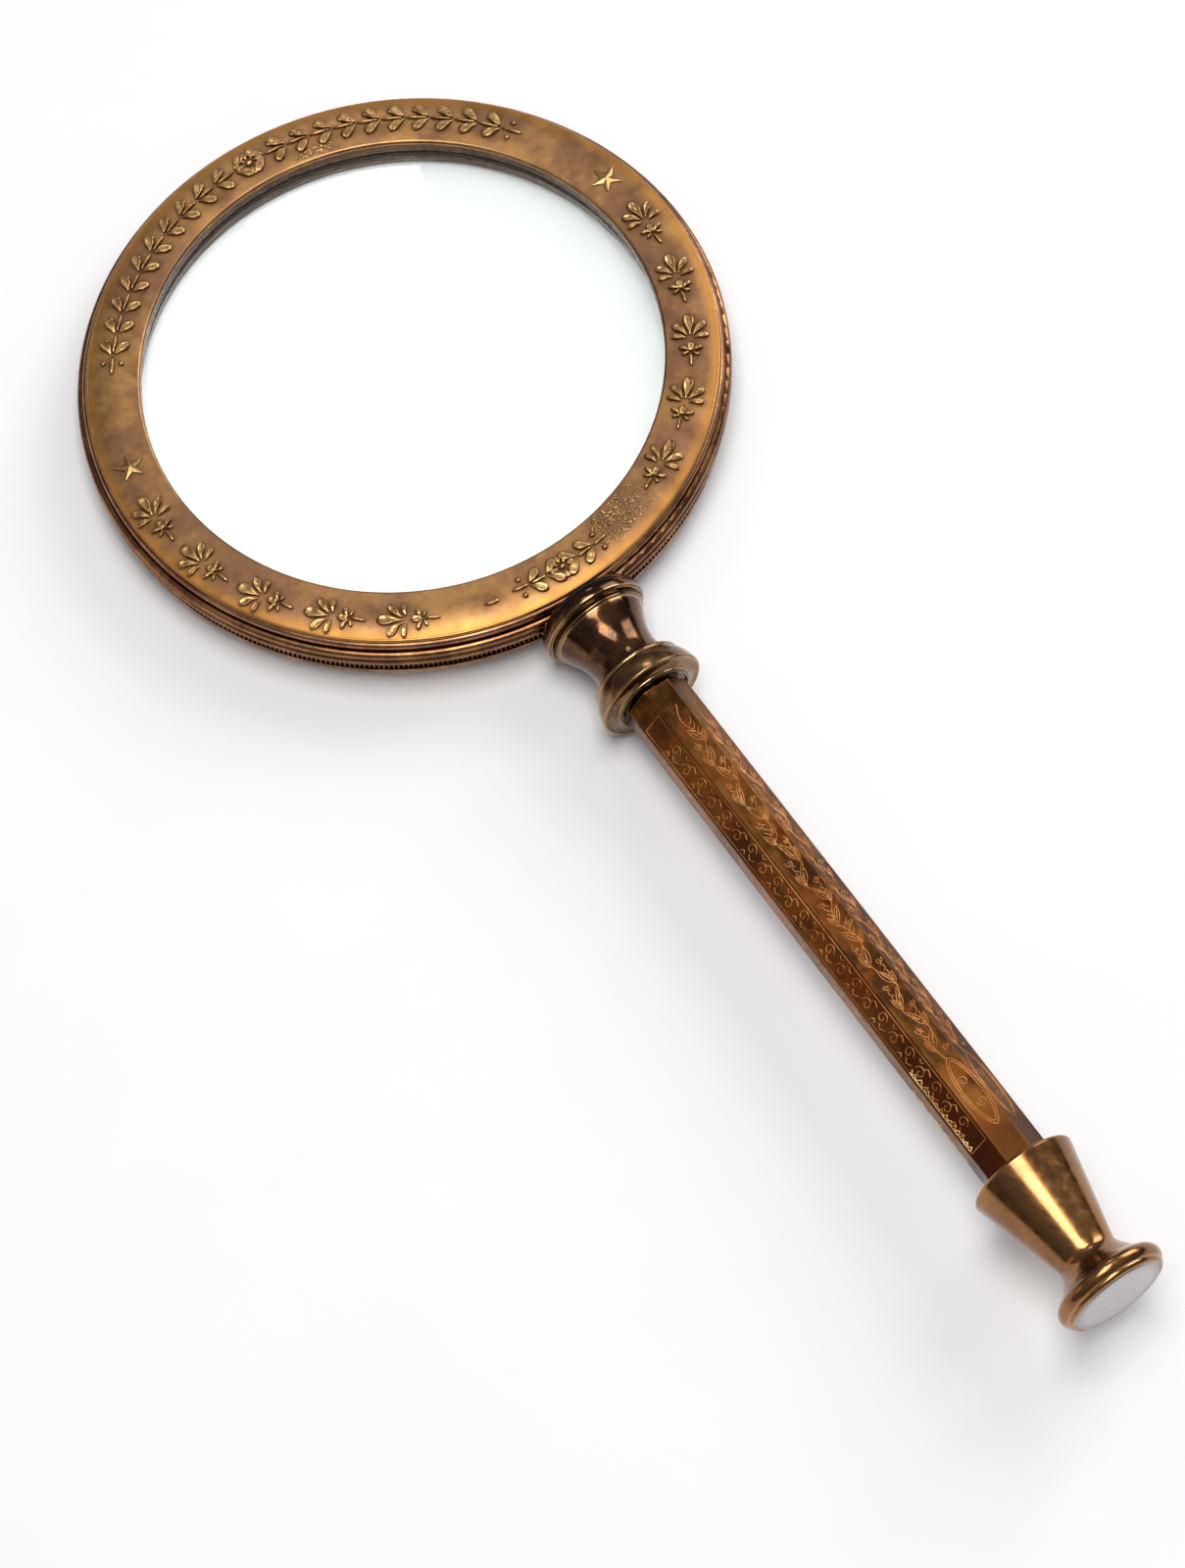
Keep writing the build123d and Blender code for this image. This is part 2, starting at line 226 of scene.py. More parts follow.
def rim_material(name, light, dark):
    """Turned rim parts: brown patina with lathe lines round the lens axis, painted shade on the inner
    wall and in hollows.
    """
    s = Shader(name, metallic=1.0)
    colour = patina(s, light, dark, 9 * MM)
    worn = s.edge(0.3 * MM)
    colour = s.mix(s.math("MULTIPLY", worn, 0.55), colour, (0.78, 0.48, 0.22))
    # painted shade: the rim's inner wall is darkened towards the lens axis
    inside = s.remap(s.radius_from(LENS_CENTRE, (0, 1)), *INNER_WALL_SHADE_RADII)
    colour = s.mix(s.math("MULTIPLY", inside, 0.85), colour, (0.045, 0.022, 0.012))
    # painted shade in hollows, from ambient occlusion
    colour = s.mix(s.math("MULTIPLY", s.occlusion_shade(0.8 * MM), 1.5, clamp=True), colour, (0.03, 0.014, 0.007))
    lines = s.noise(0.3 * MM, detail=2.0, vector=s.shift(scale=(0.02, 0.02, 1)))
    cloud = s.noise(5 * MM)
    return s.finish(colour, s.remap(cloud, 0.3, 0.7, 0.20, 0.34), s.bump(lines, 0.01 * MM, 0.5))


def turned_material(name, light, dark, edge_tone, gloss, cloud=7 * MM, foot=None):
    """Lathe-turned handle parts: patina, worn crests, fine rings round the handle axis and painted shade
    in hollows.

    Below the foot station, when there is one, painted shade leaves the patina nearly black.
    """
    s = Shader(name, metallic=1.0, coat_weight=0.3, coat_roughness=0.06)
    colour = patina(s, light, dark, cloud)
    if foot is not None:
        # painted shade on the underside, below the foot station
        underside_shade = s.remap(s.coordinate("Y"), foot, foot - 0.5 * MM, 0.0, 0.8)
        colour = s.mix(underside_shade, colour, (0.030, 0.012, 0.007))
    worn = s.edge(0.5 * MM, 0.006, 0.06)
    colour = s.mix(s.math("MULTIPLY", worn, 0.85), colour, edge_tone)
    # painted shade in hollows and where parts meet, from ambient occlusion
    colour = s.mix(s.math("MULTIPLY", s.occlusion_shade(2.2 * MM), 1.1, clamp=True), colour, (0.03, 0.016, 0.01))
    rings = s.noise(0.25 * MM, detail=2.0, vector=s.shift(scale=(0.03, 1, 0.03)))
    specks = s.noise(1.2 * MM, detail=5.0)
    rough = s.remap(specks, 0.35, 0.75, gloss, gloss + 0.14)
    return s.finish(colour, rough, s.bump(rings, 0.008 * MM, 0.5))


def tube_material():
    """Dark golden-brown tube, streaky along its length, rubbed bright along the edges, with painted shade
    near the pommel and on the left facets of its lower half.
    """
    s = Shader("engraved_tube", metallic=1.0)
    colour = patina(s, (0.19, 0.078, 0.018), (0.060, 0.024, 0.009), 8 * MM, streak=(1, 0.35, 1))
    coppery = s.remap(s.noise(7 * MM, detail=5.0, distortion=1.0), 0.47, 0.60, smooth=True)
    colour = s.mix(s.math("MULTIPLY", coppery, 0.6), colour, (0.20, 0.058, 0.013))
    station = s.coordinate("Y")
    # painted shade: darker near the pommel, and on the left facets of the lower half
    pommel_end_shade = s.remap(station, TUBE_LOW.y + 16 * MM, TUBE_LOW.y + 6 * MM, 0.0, 0.7, smooth=True)
    lower_half_shade = s.remap(station, TUBE_LOW.y + 55 * MM, TUBE_LOW.y + 18 * MM, 0.0, 0.8, smooth=True)
    left_facet_shade = s.remap(s.coordinate("X"), -2.3 * MM, -2.8 * MM)
    colour = s.mix(pommel_end_shade, colour, (0.050, 0.016, 0.006))
    colour = s.mix(s.math("MULTIPLY", lower_half_shade, left_facet_shade), colour, (0.055, 0.013, 0.006))
    worn = s.edge(0.5 * MM, 0.01, 0.10)
    scuffed = s.remap(s.noise(3 * MM), 0.35, 0.65)
    colour = s.mix(s.math("MULTIPLY", s.math("MULTIPLY", worn, scuffed), 0.8), colour, (0.62, 0.32, 0.11))
    lengthwise = s.noise(0.3 * MM, detail=2.0, vector=s.shift(scale=(1, 0.02, 1)))
    cloud = s.noise(4 * MM, detail=5.0)
    return s.finish(colour, s.remap(cloud, 0.3, 0.7, 0.22, 0.38), s.bump(lengthwise, 0.01 * MM, 0.5))


def line_material():
    """Engraved lines, where the cut shows coppery metal."""
    s = Shader("engraved_line", metallic=1.0)
    tone = s.noise(5 * MM, detail=4.0)
    colour = s.mix(s.remap(tone, 0.38, 0.62), (0.38, 0.13, 0.03), (0.66, 0.30, 0.11))
    return s.finish(colour, s.remap(tone, 0.3, 0.7, 0.34, 0.50))


def gilt_material():
    """Pale gold where the toothed border is rubbed through."""
    s = Shader("gilt_border", metallic=1.0)
    tone = s.noise(1.5 * MM, detail=4.0)
    colour = s.mix(s.remap(tone, 0.40, 0.60), (0.50, 0.24, 0.07), (0.92, 0.66, 0.30))
    return s.finish(colour, s.remap(tone, 0.3, 0.7, 0.30, 0.44))


def cap_material():
    """Pale polished end disc with faint rings."""
    s = Shader("end_disc", metallic=1.0)
    radius = s.radius_from((0, 0, 0), (0, 2))
    rings = s.noise(0.4 * MM, detail=3.0, vector=s.shift(scale=(0.6, 1, 0.6)))
    fade = s.remap(radius, *CAP_FADE, smooth=True)
    colour = s.mix(fade, (0.48, 0.46, 0.47), (0.34, 0.31, 0.30))
    return s.finish(colour, s.remap(rings, 0.3, 0.7, 0.26, 0.36), s.bump(rings, 0.004 * MM, 0.4))


def glass_material():
    """Clear optical glass with a faint smear here and there."""
    s = Shader("lens_glass", transmission_weight=1.0)
    s.bsdf.inputs["IOR"].default_value = 1.52
    smear = s.noise(22 * MM, detail=3.0, distortion=1.0)
    tint = s.mix(s.remap(smear, 0.3, 0.7), (0.80, 0.835, 0.83), (0.77, 0.81, 0.805))
    return s.finish(tint, s.remap(smear, 0.58, 0.80, 0.0, 0.03))


def dull_material(name, first, second, size, low, high, metallic=0.0, distance=0.02 * MM):
    """Plain hidden pieces: two close tones, uneven gloss and a fine grain."""
    s = Shader(name, metallic=metallic)
    grain = s.noise(size, detail=5.0)
    colour = s.mix(s.remap(grain, 0.3, 0.7), first, second)
    return s.finish(colour, s.remap(grain, 0.3, 0.7, low, high), s.bump(grain, distance, 0.5))


def dress(node, material):
    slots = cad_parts[node].data.materials
    slots.clear()
    slots.append(material)


FACE = embossed_face_material()
RELIEF = relief_material()
LINE = line_material()
GILT = gilt_material()
NECK = turned_material(
    "neck_bronze", (0.15, 0.062, 0.018), (0.040, 0.016, 0.008), (0.85, 0.54, 0.22), 0.12
)
FLANGE = turned_material(
    "flange_bronze",
    (0.27, 0.135, 0.045),
    (0.13, 0.060, 0.022),
    (0.88, 0.60, 0.27),
    0.20,
    4 * MM,
    # painted shade darkens the flange's underside below this station
    foot=FLANGE_LOW.y + 1.35 * MM,
)
POMMEL = turned_material(
    "pommel_brass", (0.33, 0.150, 0.048), (0.22, 0.095, 0.032), (0.72, 0.42, 0.17), 0.15, 11 * MM
)
BEZEL = rim_material("bezel_side", (0.42, 0.210, 0.105), (0.22, 0.100, 0.055))
CELL = rim_material("reeded_cell", (0.36, 0.170, 0.070), (0.17, 0.072, 0.034))
INNER_BRASS = dull_material(
    "turned_brass", (0.78, 0.60, 0.28), (0.66, 0.48, 0.22), 0.6 * MM, 0.24, 0.36, 1.0
)
STEEL = dull_material("bright_steel", (0.62, 0.62, 0.63), (0.50, 0.50, 0.51), 0.5 * MM, 0.22, 0.34, 1.0)
PACKING = dull_material("packing", (0.035, 0.03, 0.028), (0.06, 0.05, 0.045), 0.7 * MM, 0.6, 0.8)
FIBRE = dull_material("red_fibre", (0.30, 0.055, 0.03), (0.22, 0.04, 0.025), 0.5 * MM, 0.5, 0.7)

dress("face_plate", FACE)
dress("bezel_ring", BEZEL)
dress("rim_body", CELL)
dress("lens", glass_material())
dress("neck_ferrule", NECK)
dress("neck_flange", FLANGE)
dress("handle_tube", tube_material())
dress("pommel", POMMEL)
dress("end_cap", cap_material())
for name in ("slip_ring", "upper_plug", "lower_plug"):
    dress(name, INNER_BRASS)
for name in ("rim_stud", "tie_rod", "plug_washer", "rod_nut"):
    dress(name, STEEL)
for name in ("front_packing_ring", "rear_packing_ring"):
    dress(name, PACKING)
for name in ("neck_washer", "pommel_washer"):
    dress(name, FIBRE)
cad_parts["lens"].visible_shadow = False


# =====================================================================
# Relief on the front plate
# =====================================================================

BAND_RADIUS = 53.2 * MM      # middle of the ornament band, from the lens axis
HANDLE_ANGLE = -90.0         # direction of the handle round the lens axis, degrees
PALMETTES_EACH_SIDE = 5
PALMETTE_ROWS = {            # first angle from the handle, step, and shift outwards in mm
    "left": (31.8, 14.05, 0.95),
    "right": (29.7, 14.80, -0.5),
}
STAR_OFFSETS = {"left": 100.6, "right": 101.8}
GARLAND_OFFSET = 118.0       # the garland covers the far arc from this offset
GARLAND_START = 3.0          # first pair of leaves, from the middle of the garland, mm
DASH_OFFSET = -15.2          # from the handle, degrees
SUNK = -0.12                 # depth of each relief's foot under the plate, mm

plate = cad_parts["face_plate"].data
plate_tree = BVHTree.FromPolygons(
    [v.co for v in plate.vertices], [tuple(p.vertices) for p in plate.polygons]
)


def plate_height(x, y):
    """Height of the front plate's surface under a point."""
    hit = plate_tree.ray_cast(Vector((x, y, FACE_HIGH.z + 0.01)), Vector((0, 0, -1)))[0]
    return hit.z if hit else FACE_HIGH.z


class Ornament:
    """Closed raised shapes drawn in millimetres: u along the band, v outwards, h up."""

    def __init__(self):
        self.points = []
        self.faces = []

    def add(self, points, faces):
        start = len(self.points)
        self.points += points
        self.faces += [tuple(start + i for i in face) for face in faces]

    def leaf(self, base, tip, width, height, bend=0.0, widest=0.62, dish=0.25, rows=12, columns=10):
        """Teardrop from base to tip, bowed sideways by bend, with a dished back."""
        base = Vector(base)
        tip = Vector(tip)
        along = tip - base
        side = Vector((-along.y, along.x)).normalized()
        middle = (base + tip) / 2 + side * bend
        skew = math.log(0.5) / math.log(widest)
        points = [(base.x, base.y, SUNK)]
        for row in range(1, rows):
            t = row / rows
            centre = base * (1 - t) ** 2 + middle * (2 * t * (1 - t)) + tip * t**2
            heading = (middle - base) * (1 - t) + (tip - middle) * t
            normal = Vector((-heading.y, heading.x)).normalized()
            swell = math.sin(math.pi * t**skew)
            half = width / 2 * swell**0.75
            for column in range(columns + 1):
                s = 2 * column / columns - 1
                inside = min(1.0, max(0.0, (0.85 - abs(s)) / 0.45))
                rise = (1 - abs(s) ** 7) * (1 - dish * inside * swell)
                h = SUNK + (height - SUNK) * rise * min(1.0, 0.45 + 0.75 * swell)
                if abs(s) == 1:
                    h = SUNK
                spot = centre + normal * (half * s)
                points.append((spot.x, spot.y, h))
        points.append((tip.x, tip.y, SUNK))
        last = len(points) - 1
        width_count = columns + 1
        faces = []
        for row in range(rows - 2):
            low = 1 + row * width_count
            for column in range(columns):
                a = low + column
                faces.append((a, a + 1, a + 1 + width_count, a + width_count))
            faces.append((low + columns, low, low + width_count, low + width_count + columns))
        for column in range(columns):
            faces.append((0, 2 + column, 1 + column))
            end = last - width_count + column
            faces.append((last, end, end + 1))
        faces.append((0, 1, 1 + columns))
        faces.append((last, last - 1, last - width_count))
        self.add(points, [tuple(reversed(face)) for face in faces])

    def dome(self, centre, radius, height, sides=10, rings=3):
        """Low round boss."""
        points = []
        for ring in range(rings):
            lift = math.pi / 2 * ring / rings
            reach = radius * math.cos(lift)
            h = SUNK + (height - SUNK) * math.sin(lift)
            for side in range(sides):
                turn = 2 * math.pi * side / sides
                points.append((centre[0] + reach * math.cos(turn), centre[1] + reach * math.sin(turn), h))
        points.append((centre[0], centre[1], height))
        top = len(points) - 1
        faces = [tuple(reversed(range(sides)))]
        for ring in range(rings - 1):
            for side in range(sides):
                a = ring * sides + side
                b = ring * sides + (side + 1) % sides
                faces.append((a, b, b + sides, a + sides))
        for side in range(sides):
            a = (rings - 1) * sides + side
            b = (rings - 1) * sides + (side + 1) % sides
            faces.append((a, b, top))
        self.add(points, faces)

    def star(self, outer, inner, edge_height, height, corners=5):
        """Faceted star with upright sides and ridges from its middle to each point."""
        points = []
        count = 2 * corners
        for h in (SUNK, edge_height):
            for corner in range(count):
                reach = inner if corner % 2 else outer
                turn = math.pi * corner / corners
                points.append((reach * math.cos(turn), reach * math.sin(turn), h))
        points.append((0, 0, height))
        faces = [tuple(reversed(range(count)))]
        for corner in range(count):
            following = (corner + 1) % count
            faces.append((corner, following, count + following, count + corner))
            faces.append((count + corner, count + following, 2 * count))
        self.add(points, faces)

    def place(self, name, angle, direction=1, smooth=True):
        """Bends the drawing round the band and lays it on the plate."""
        points = []
        for u, v, h in self.points:
            turn = math.radians(angle) + direction * u * MM / BAND_RADIUS
            reach = BAND_RADIUS + v * MM
            x = LENS_CENTRE.x + reach * math.cos(turn)
            y = LENS_CENTRE.y + reach * math.sin(turn)
            points.append((x, y, plate_height(x, y) + h * MM))
        faces = self.faces if direction > 0 else [tuple(reversed(face)) for face in self.faces]
        mesh = bpy.data.meshes.new(name)
        # u runs anticlockwise and v outwards, which is a mirrored pair, so faces are turned over
        mesh.from_pydata(points, [], [tuple(reversed(face)) for face in faces])
        mesh.validate()
        for polygon in mesh.polygons:
            polygon.use_smooth = smooth
        mesh.materials.append(RELIEF)
        piece = bpy.data.objects.new(name, mesh)
        bpy.context.scene.collection.objects.link(piece)
        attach(piece, "bezel")


def palmette(outward):
    """Honeysuckle: a middle petal, two pairs of side petals, a lozenge, thorns and a stem."""
    drawing = Ornament()
    drawing.leaf((0.3, 0), (5.3, 0), 2.2, 0.75, dish=0.5, widest=0.68)
    for side in (-1, 1):
        petal_tip = (3.0, 3.3 * side)
        drawing.leaf((0.3, 0.45 * side), petal_tip, 1.5, 0.72, -0.75 * side, widest=0.68, dish=0.45)
        drawing.leaf((-0.2, 0.6 * side), (0.3, 3.6 * side), 1.1, 0.70, bend=-0.55 * side, dish=0.2)
        drawing.leaf((-3.1, 0.15 * side), (-2.1, 2.3 * side), 0.95, 0.60, bend=-0.6 * side, dish=0.0)
        drawing.leaf((-2.9, 0.1 * side), (-3.7, 1.7 * side), 0.6, 0.50, bend=0.2 * side, dish=0.0)
    drawing.leaf((-3.0, 0), (-0.8, 0), 1.45, 0.65, dish=0.35, widest=0.5)
    drawing.leaf((-3.2, 0), (-6.2, 0.35), 0.65, 0.55, bend=0.25, dish=0.0, widest=0.5)
    drawing.points = [(u, v + outward, h) for u, v, h in drawing.points]
    return drawing


def garland(half_arc, unit, leaf_length):
    """Paired leaves along a thin stem, meeting at a rosette in the middle."""
    drawing = Ornament()
    count = int(half_arc / unit)
    for side in (-1, 1):
        for step in range(count):
            u = side * (GARLAND_START + step * unit)
            stem_tip = (u + side * unit * 1.04, 0)
            drawing.leaf((u, 0), stem_tip, 0.8, 0.45, widest=0.5, dish=0.0, rows=6, columns=6)
            for flank in (-1, 1):
                root = (u + side * 0.3, 0.3 * flank)
                tip = (u - side * leaf_length * 0.62, flank * leaf_length * 0.70)
                drawing.leaf(root, tip, 2.0, 0.70, bend=0.6 * side * flank, dish=0.3)
                berry = (u + side * unit * 0.45, flank * 1.7)
                drawing.dome(berry, 0.6, 0.5, sides=8)
    return drawing


def rosette(drawing, radius, petals=8):
    """Ring of petals round a boss, in the middle of a drawing."""
    for petal in range(petals):
        turn = 2 * math.pi * petal / petals
        inner = (0.25 * radius * math.cos(turn), 0.25 * radius * math.sin(turn))
        outer = (radius * math.cos(turn), radius * math.sin(turn))
        drawing.leaf(inner, outer, radius * 0.52, 0.48, rows=8, columns=6)
    drawing.dome((0, 0), 0.27 * radius, 0.6)
    return drawing


for side, word in ((-1, "left"), (1, "right")):
    first, step, outward = PALMETTE_ROWS[word]
    for number in range(PALMETTES_EACH_SIDE):
        offset = first + step * number
        palmette(outward).place(f"palmette_{word}_{number + 1}", HANDLE_ANGLE + side * offset, side)
    star = Ornament()
    star.star(2.9, 1.15, 0.22, 0.5)
    star.place(f"star_{word}", HANDLE_ANGLE + side * STAR_OFFSETS[word], side, smooth=False)

far_arc = math.radians(180.0 - GARLAND_OFFSET) * BAND_RADIUS / MM
rosette(garland(far_arc - GARLAND_START, 4.6, 4.2), 3.0).place("garland_far", HANDLE_ANGLE + 180)
rosette(garland(7.2, 3.6, 3.9), 2.6).place("garland_near", HANDLE_ANGLE)

dash = Ornament()
dash.leaf((-1.5, 0.7), (1.5, 0.7), 0.95, 0.5, dish=0.0, widest=0.5)
dash.place("dash", HANDLE_ANGLE + DASH_OFFSET)


def stipple(name, first, last, inner, outer, count, seed):
    """Rough cast patch: many small grains of uneven size."""
    drawing = Ornament()
    chance = random.Random(seed)
    middle = (first + last) / 2
    half = math.radians(abs(last - first) / 2) * BAND_RADIUS / MM
    for _ in range(count):
        u = chance.uniform(-half, half)
        v = chance.uniform(inner, outer)
        fade = 1.0 - 0.6 * abs(u / half) ** 2
        size = chance.uniform(0.18, 0.42) * fade
        drawing.dome((u, v), size, size * chance.uniform(0.35, 0.75), sides=6, rings=2)
    drawing.place(name, middle)


stipple("stipple_near", -83.5, -66.0, -4.3, 2.2, 420, 3)
stipple("stipple_far", 71.0, 82.0, -4.2, -2.6, 120, 5)


# =====================================================================
# Engraving on the handle
# =====================================================================

FRAME_LINE = 0.13 * MM        # radius of the lines; most of each is sunk in the flat
VINE_LINE = 0.10 * MM
BORDER_LINE = 0.17 * MM
FRAME_HALF = 1.95            # half the width of a frame, mm
SCROLL_PITCH = 3.9
ALMOND_LENGTH = 14.5
STEM_STEP = 0.7
BORDER_TEETH = 30
VINES = (                    # facing, wave length, leaf length and shift aside, mm
    (90, 9.5, 3.8, -0.4),
    (45, 7.0, 3.2, 0.2),
    (0, 8.5, 3.6, 0.0),
    (270, 9.0, 3.7, 0.0),
)
FRAME_HEAD = TUBE_HIGH.y - 5.0 * MM
FRAME_FOOT = TUBE_LOW.y + 7.5 * MM


class Engraving:
    """Lines on one flat of the octagon: a across the flat and y along the tube, in mm."""

    def __init__(self, name, facing, thickness, aside=0.0, material=LINE):
        self.facing = math.radians(facing)
        self.aside = aside
        self.level = TUBE_APOTHEM - 0.6 * thickness
        self.curve = bpy.data.curves.new(name, "CURVE")
        self.curve.dimensions = "3D"
        self.curve.bevel_depth = thickness
        self.curve.bevel_resolution = 1
        self.curve.use_fill_caps = True
        self.curve.materials.append(material)
        self.name = name

    def line(self, points, closed=False):
        normal = Vector((math.cos(self.facing), 0, math.sin(self.facing)))
        across = Vector((-math.sin(self.facing), 0, math.cos(self.facing)))
        spline = self.curve.splines.new("POLY")
        spline.points.add(len(points) - 1)
        spline.use_cyclic_u = closed
        for point, (a, y) in zip(spline.points, points):
            spot = normal * self.level + across * ((a + self.aside) * MM)
            spot.y = y * MM
            point.co = (*spot, 1)

    def outline(self, base, tip, width, steps=9):
        """Both edges of a leaf, with its midrib."""
        base = Vector(base)
        along = Vector(tip) - base
        side = Vector((-along.y, along.x)).normalized() * (width / 2)
        edge = []
        for way in (1, -1):
            run = range(steps + 1) if way == 1 else range(steps - 1, 0, -1)
            for step in run:
                t = step / steps
                edge.append(base + along * t + side * (way * math.sin(math.pi * t**0.8)))
        self.line([tuple(p) for p in edge], closed=True)
        self.line([tuple(base), tuple(base + along * 0.72)])

    def curl(self, centre, radius, start, turns, steps=14):
        """Spiral that closes in on its centre."""
        points = []
        for step in range(steps + 1):
            t = step / steps
            turn = start + turns * 2 * math.pi * t
            reach = radius * (1 - 0.8 * t)
            points.append((centre[0] + reach * math.cos(turn), centre[1] + reach * math.sin(turn)))
        self.line(points)

    def done(self):
        piece = bpy.data.objects.new(self.name, self.curve)
        bpy.context.scene.collection.objects.link(piece)
        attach(piece, "handle")


def framed_scrolls(name, facing):
    """Long frame with a row of C-scrolls."""
    work = Engraving(name, facing, FRAME_LINE)
    head = FRAME_HEAD / MM
    foot = FRAME_FOOT / MM
    corners = [(-FRAME_HALF, foot), (FRAME_HALF, foot), (FRAME_HALF, head), (-FRAME_HALF, head)]
    work.line(corners, closed=True)
    for number in range(int((head - foot - 6) / SCROLL_PITCH)):
        y = foot + 5.0 + number * SCROLL_PITCH
        way = 1 if number % 2 else -1
        work.curl((0.4 * way, y), 1.2, math.pi / 2 * way, 1.15 * way)
        work.line([(-0.75 * way, y - 2.0), (-1.35 * way, y - 0.9), (-0.6 * way, y - 0.2)])
        work.line([(-1.5 * way, y + 0.5), (-0.9 * way, y + 1.0), (-1.4 * way, y + 1.6)])
    work.done()


def toothed_border(name, facing, seed):
    """Jagged strip with uneven teeth inside one long side of the frame, near the pommel."""
    work = Engraving(name, facing, BORDER_LINE, material=GILT)
    chance = random.Random(seed)
    y = FRAME_FOOT / MM + 0.4
    spine = []
    teeth = []
    for number in range(BORDER_TEETH):
        reach = 0.85 * (number % 2) * chance.uniform(0.5, 1.0)
        teeth.append((1.85 - reach, y))
        spine.append((FRAME_HALF, y))
        y += chance.uniform(0.35, 0.85)
    work.line(spine)
    work.line(teeth)
    work.done()


def vine(name, facing, wave, leaf, aside, seed):
    """Waving stem with leaves and curls, ending in an almond medallion at the pommel."""
    work = Engraving(name, facing, VINE_LINE, aside)
    chance = random.Random(seed)
    head = FRAME_HEAD / MM
    foot = FRAME_FOOT / MM
    almond_foot = foot + 1.0
    almond_middle = almond_foot + ALMOND_LENGTH / 2
    for inset in (0.0, 0.42):
        half = ALMOND_LENGTH / 2 - 1.6 * inset
        ring = []
        for step in range(28):
            turn = 2 * math.pi * step / 28
            pointed = math.copysign(abs(math.sin(turn)) ** 1.25, math.sin(turn))
            ring.append(((FRAME_HALF - inset) * pointed, almond_middle + half * math.cos(turn)))
        work.line(ring, closed=True)
    for way in (-1, 1):
        work.curl((0.25 * way, almond_middle + 2.3 * way), 1.0, 0, 1.3 * way)
    stem_foot = almond_foot + ALMOND_LENGTH
    steps = int((head - stem_foot) / STEM_STEP)
    stem = []
    for step in range(steps + 1):
        y = stem_foot + (head - stem_foot) * step / steps
        swing = 0.85 + 0.25 * math.sin(y / 4.3)
        phase = 2 * math.pi * (y - stem_foot) / wave + 0.5 * math.sin(y / 7.1)
        stem.append((swing * math.sin(phase), y))
    work.line(stem)
    count = int(2 * (head - stem_foot) / wave) - 1
    for number in range(count):
        y = stem_foot + wave / 4 + number * wave / 2
        way = 1 if number % 2 == 0 else -1
        reach = leaf * chance.uniform(0.85, 1.1)
        lean = chance.uniform(-0.5, 0.5)
        work.outline((0.8 * way, y), ((-0.8 + lean) * way, y + reach), chance.uniform(0.9, 1.3))
        work.outline((0.75 * way, y - 0.4), (1.65 * way, y + reach * 0.62), 0.8, steps=7)
        curl_radius = chance.uniform(0.55, 0.85)
        work.curl((-0.95 * way, y - 0.4 + lean), curl_radius, math.pi / 2 + way, 1.1 * way, steps=11)
        for barb in range(3):
            root = y + (barb + 1.2) * wave / 8
            bend = ((0.9 + lean) * way, root + 0.5)
            work.line([((0.3 + lean) * way, root), bend, (1.1 * way, root + 1.3)])
    work.done()


for number, facing in enumerate((135, 180, 225, 315)):
    framed_scrolls(f"engraved_frame_{number + 1}", facing)
    toothed_border(f"toothed_border_{number + 1}", facing, 31 + number)
for number, (facing, wave, leaf, aside) in enumerate(VINES):
    vine(f"engraved_vine_{number + 1}", facing, wave, leaf, aside, 11 + number)


# =====================================================================
# Stage, lights and camera
# =====================================================================

CAMERA_PLACE = Vector((-0.1939, -0.2246, 0.7672))
CAMERA_TARGET = Vector((-0.0183, 0.1295, 0.0))
CAMERA_ROLL = math.radians(8.1)
CAMERA_LENS = 113.3
STAGE_MIDDLE = Vector((0, 0.14, 0))
FLOOR_SIZE = 6.0
FLOOR_GAP = 0.05 * MM
SKY_STRENGTH = (0.10, 0.36)     # at the horizon and overhead


def pale_floor():
    """The object rests on the neck's bead and the far edge of the rim, so the floor tilts a little."""
    neck = Vector((0, FERRULE_HIGH.y - 1.25 * MM, FERRULE_LOW.z))
    rim = Vector((0, RIM_HIGH.y - 1.5 * MM, RIM_LOW.z))
    slope = math.atan2(rim.z - neck.z, rim.y - neck.y)
    bpy.ops.mesh.primitive_plane_add(size=FLOOR_SIZE)
    floor = bpy.context.object
    floor.name = "floor"
    floor.rotation_euler = (slope, 0, 0)
    floor.location = neck - Vector((0, 0, FLOOR_GAP))
    s = Shader("pale_floor", roughness=0.85)
    grain = s.noise(30 * MM, detail=2.0)
    colour = s.mix(grain, (0.83, 0.83, 0.84), (0.86, 0.86, 0.865))
    floor.data.materials.append(s.finish(colour))


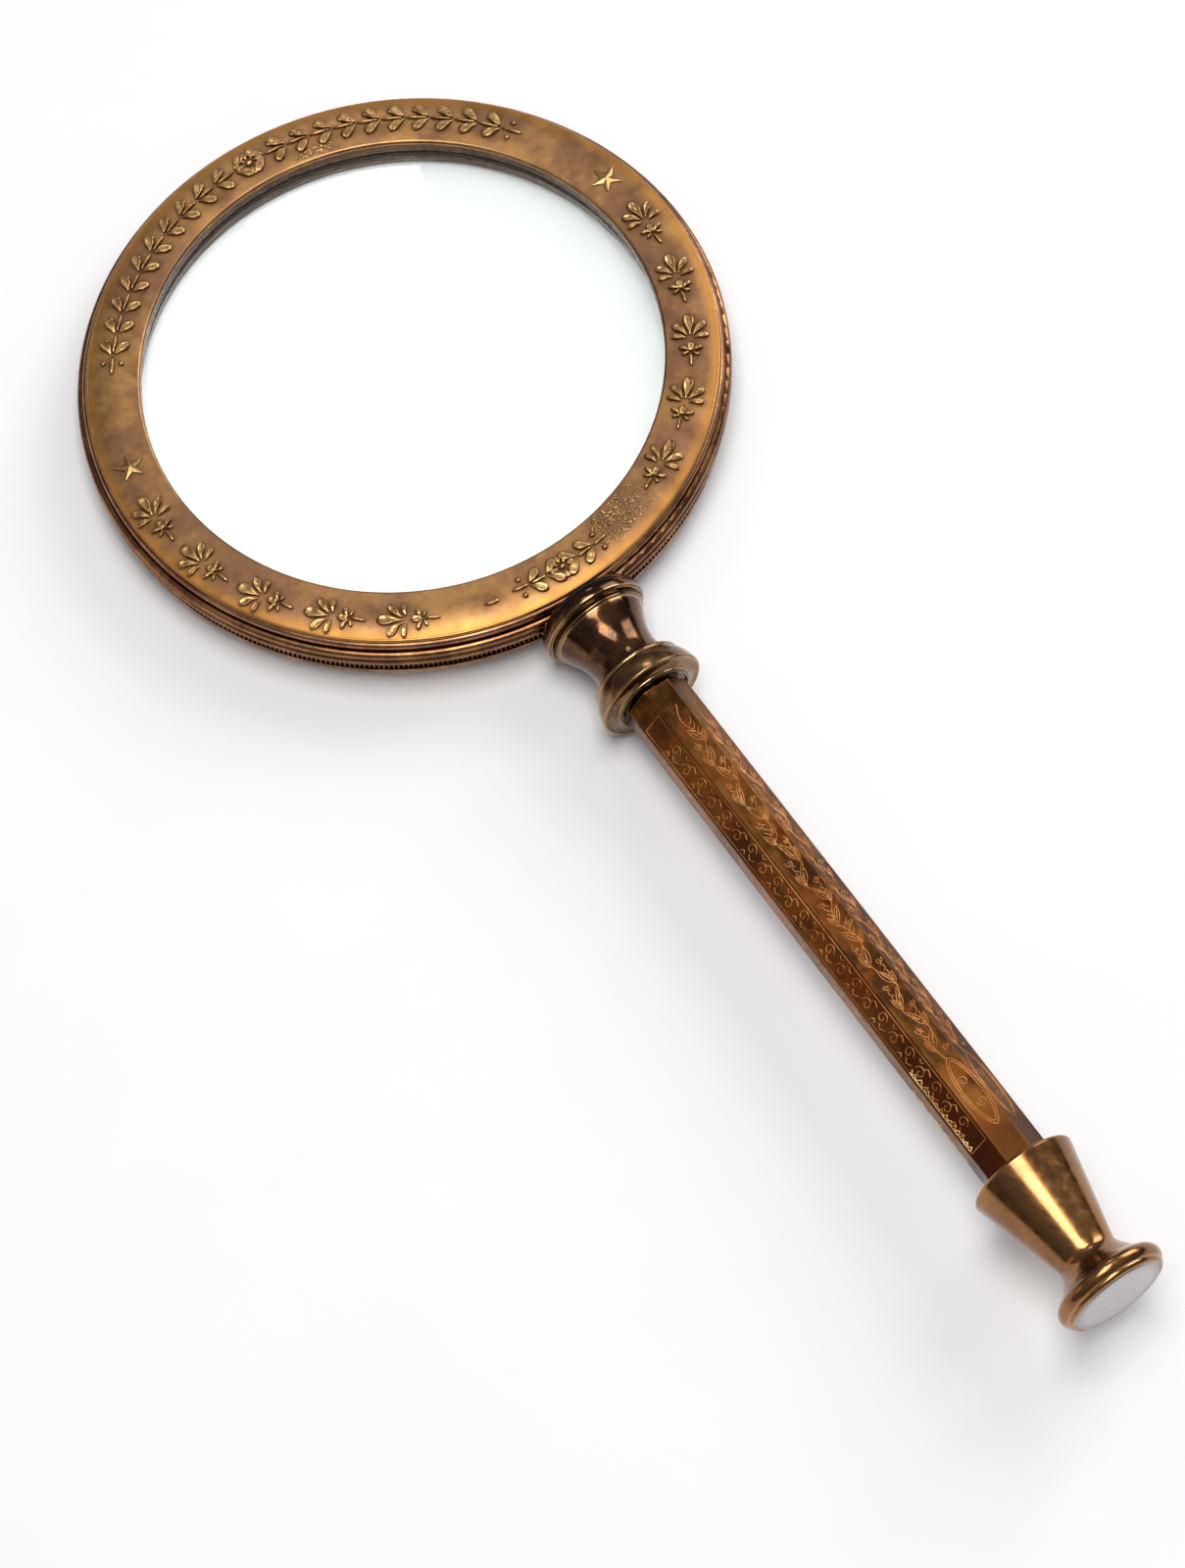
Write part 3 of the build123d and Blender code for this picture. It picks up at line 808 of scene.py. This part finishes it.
def soft_light(name, direction, distance, size, power, colour=(1, 1, 1)):
    data = bpy.data.lights.new(name, "AREA")
    data.shape = "RECTANGLE"
    data.size, data.size_y = size
    data.energy = power
    data.color = colour
    light = bpy.data.objects.new(name, data)
    light.location = STAGE_MIDDLE + Vector(direction).normalized() * distance
    light.rotation_euler = (light.location - STAGE_MIDDLE).to_track_quat("Z", "Y").to_euler()
    light.visible_camera = False
    bpy.context.scene.collection.objects.link(light)


def studio_world():
    """Pale overhead that falls off to a dim horizon, so the metal keeps its contrast."""
    world = bpy.data.worlds.new("studio")
    bpy.context.scene.world = world
    world.use_nodes = True
    tree = world.node_tree
    background = tree.nodes["Background"]
    background.inputs["Color"].default_value = (0.93, 0.95, 1.0, 1)
    split = tree.nodes.new("ShaderNodeSeparateXYZ")
    tree.links.new(tree.nodes.new("ShaderNodeTexCoord").outputs["Generated"], split.inputs[0])
    fall = tree.nodes.new("ShaderNodeMapRange")
    fall.inputs["To Min"].default_value = SKY_STRENGTH[0]
    fall.inputs["To Max"].default_value = SKY_STRENGTH[1]
    tree.links.new(split.outputs[2], fall.inputs["Value"])
    tree.links.new(fall.outputs["Result"], background.inputs["Strength"])


def place_camera():
    data = bpy.data.cameras.new("camera")
    data.lens = CAMERA_LENS
    data.sensor_width = 36.0
    data.clip_start = 0.01
    camera = bpy.data.objects.new("camera", data)
    look = (CAMERA_TARGET - CAMERA_PLACE).to_track_quat("-Z", "Y")
    camera.rotation_mode = "QUATERNION"
    camera.rotation_quaternion = look @ Quaternion((0, 0, 1), -CAMERA_ROLL)
    camera.location = CAMERA_PLACE
    bpy.context.scene.collection.objects.link(camera)
    bpy.context.scene.camera = camera


pale_floor()
studio_world()
soft_light("overhead", (-0.06, -0.10, 1.0), 1.1, (0.44, 0.75), 9.0, (1.0, 0.985, 0.96))
soft_light("key", (0.80, 0.20, 0.55), 1.4, (0.8, 0.8), 9.5)
soft_light("left_fill", (-1.0, 0.35, 0.30), 1.3, (0.7, 0.7), 0.9, (1.0, 0.80, 0.60))
soft_light("window", (0.36, 1.03, 1.0), 1.48, (0.25, 0.15), 0.9, (0.95, 0.98, 1.0))
place_camera()
bpy.context.scene.view_settings.view_transform = "Standard"

bpy.context.view_layer.update()
